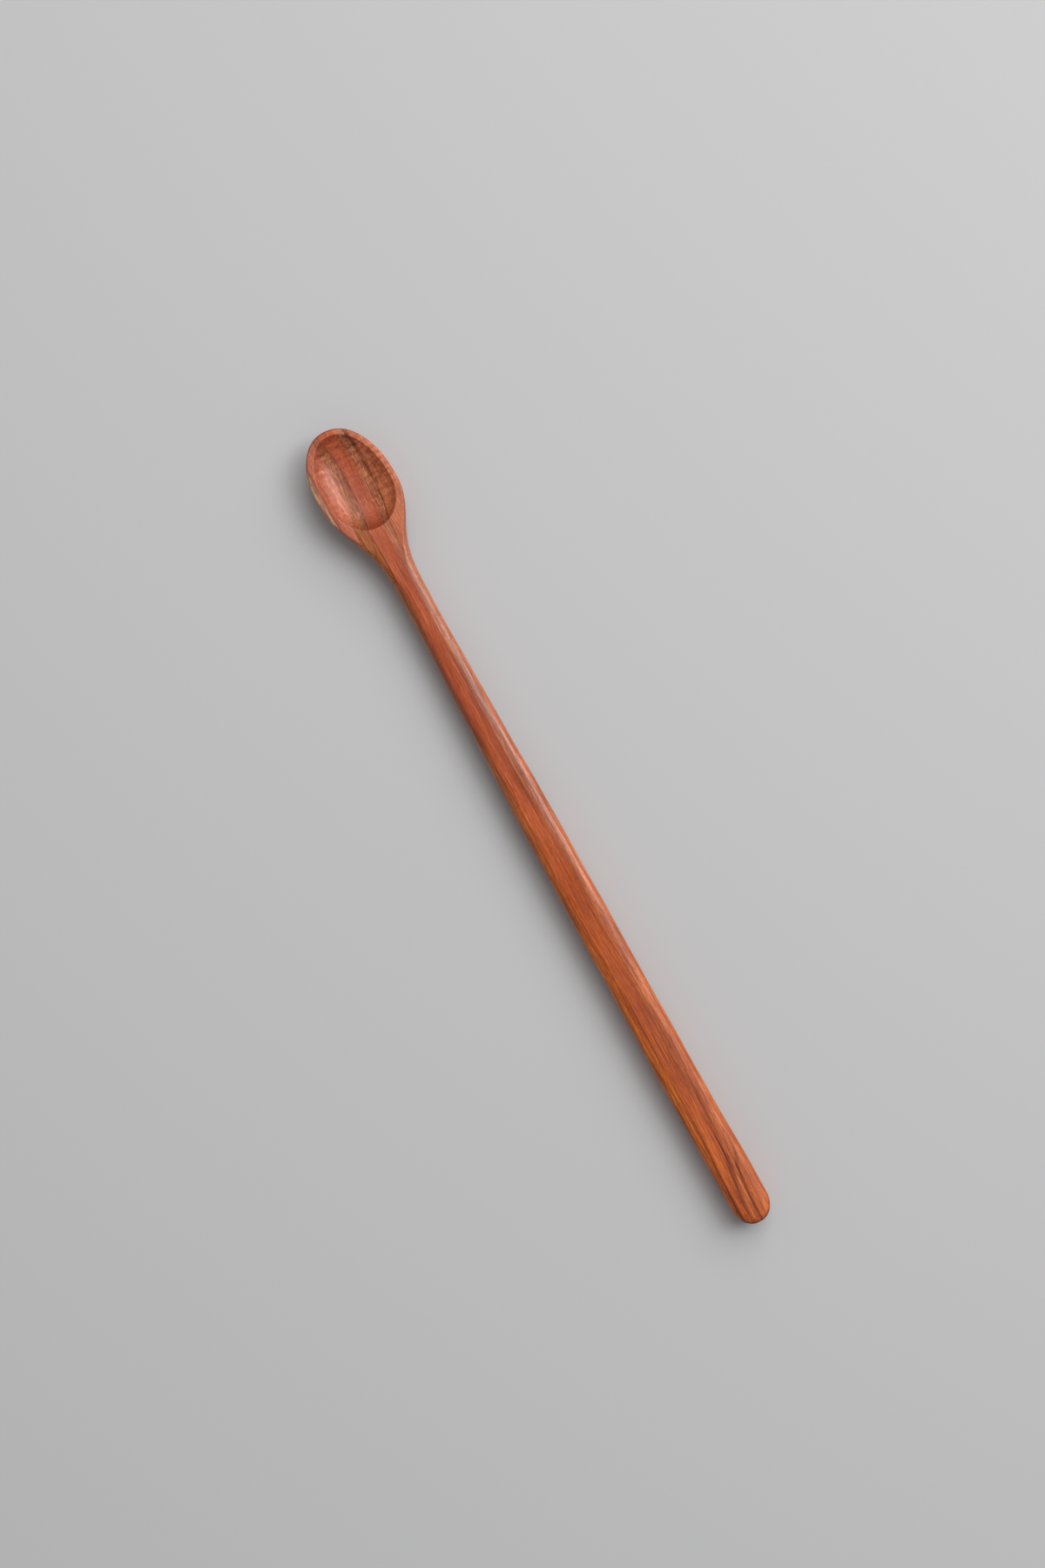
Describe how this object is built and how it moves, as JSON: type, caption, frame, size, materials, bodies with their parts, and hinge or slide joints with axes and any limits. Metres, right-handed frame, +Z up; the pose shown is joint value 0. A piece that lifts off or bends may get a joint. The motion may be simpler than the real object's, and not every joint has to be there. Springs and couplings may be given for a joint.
{
  "type": "wooden tasting spoon",
  "caption": "Slim wooden tasting spoon: a small egg-shaped bowl with a flat rim, sloping shoulders, a round neck and a long handle that grows wider, thicker and squarer towards its blunt end.",
  "frame": {"origin": "on the table, under the middle of the spoon's length, where the spoon lies at rest on its bowl's underside and its handle's end", "axes": "+X from the handle's end to the bowl's tip, +Y to the spoon's left as seen from above with the tip ahead, +Z up, out of the bowl's hollow"},
  "size_m": [0.305, 0.0282, 0.0118],
  "materials": {
    "oiled_hardwood": "satin oil, reddish brown hardwood with darker and paler layers along the grain"
  },
  "bodies": {
    "root": {"spoon": "oiled_hardwood"}
  },
  "joints": []
}
